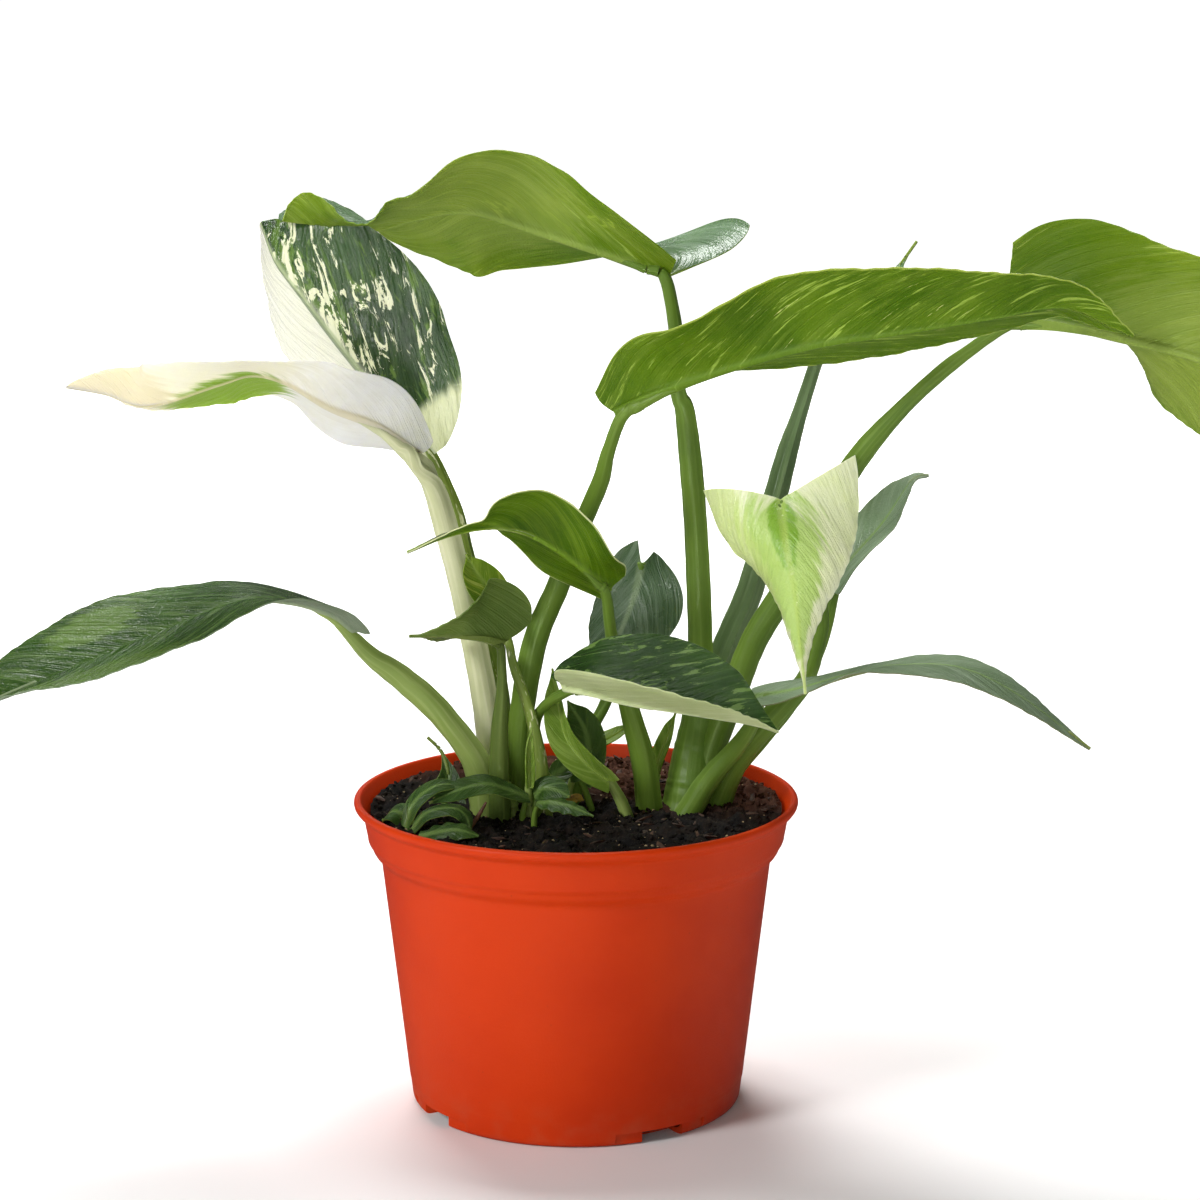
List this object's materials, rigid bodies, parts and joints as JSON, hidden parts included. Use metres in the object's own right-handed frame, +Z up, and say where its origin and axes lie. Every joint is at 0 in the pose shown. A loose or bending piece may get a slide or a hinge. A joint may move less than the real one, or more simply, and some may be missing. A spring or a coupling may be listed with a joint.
{
  "type": "potted jose buono philodendron",
  "caption": "Variegated philodendron with long pointed leaves on arching stalks, growing in soil in a round nursery pot with a stepped collar and rolled rim.",
  "frame": {"origin": "centre of the pot's flat underside", "axes": "+Z up, the plant's front looks along -Y, +X to its right seen from the front"},
  "size_m": [0.4477, 0.2046, 0.3264],
  "materials": {
    "pot_plastic": "satin orange-red moulded plastic",
    "potting_soil": "matt dark peat and bark potting mix with pale grains",
    "stem": "satin pale green stem",
    "green_leaf": "satin mid-green leaf, lighter and matt underneath",
    "dark_leaf": "glossy dark green leaf with paler veins",
    "marbled_leaf": "dark bluish green leaf marbled with cream",
    "cream_leaf": "cream leaf with a green streak",
    "lime_leaf": "pale lime leaf with a green flush",
    "green_stalk": "satin green stalk with pale stripes",
    "cream_stalk": "cream stalk with a green tint"
  },
  "bodies": {
    "root": {"blade_far_left": "dark_leaf", "blade_white": "cream_leaf", "blade_marbled": "marbled_leaf", "blade_top": "green_leaf", "blade_long": "green_leaf", "blade_far_right": "green_leaf", "blade_back_right": "dark_leaf", "blade_lime": "lime_leaf", "blade_grey": "dark_leaf", "blade_low_right": "dark_leaf", "blade_front": "marbled_leaf", "blade_curled": "green_leaf", "blade_hood": "dark_leaf", "blade_round": "dark_leaf", "stem_left": "stem", "stem_right": "stem", "stalk_far_left": "green_stalk", "stalk_white": "cream_stalk", "stalk_marbled": "green_stalk", "stalk_top": "green_stalk", "stalk_long": "green_stalk", "stalk_far_right": "green_stalk", "stalk_back_right": "green_stalk", "stalk_lime": "green_stalk", "stalk_grey": "green_stalk", "stalk_low_right": "green_stalk", "stalk_front": "green_stalk", "stalk_curled": "green_stalk", "stalk_hood": "green_stalk", "stalk_round": "green_stalk", "leaf_young_folded": "lime_leaf", "leaf_young_dark": "dark_leaf", "leaf_behind_hood": "marbled_leaf", "leaf_sprig_left": "dark_leaf", "leaf_sprig_oval": "dark_leaf", "leaf_sprig_front": "green_leaf", "leaf_centre_bud": "green_leaf", "leaf_stub": "dark_leaf", "leaf_dark_round": "dark_leaf", "leaf_right_bud": "green_leaf", "leaf_sprout": "dark_leaf", "leaf_rim_left": "green_leaf", "leaf_rim_arch": "dark_leaf", "leaf_rim_low": "green_leaf", "leaf_rim_front": "green_leaf", "leaf_crossing": "green_leaf", "soil": "potting_soil", "pot": "pot_plastic"}
  },
  "joints": []
}
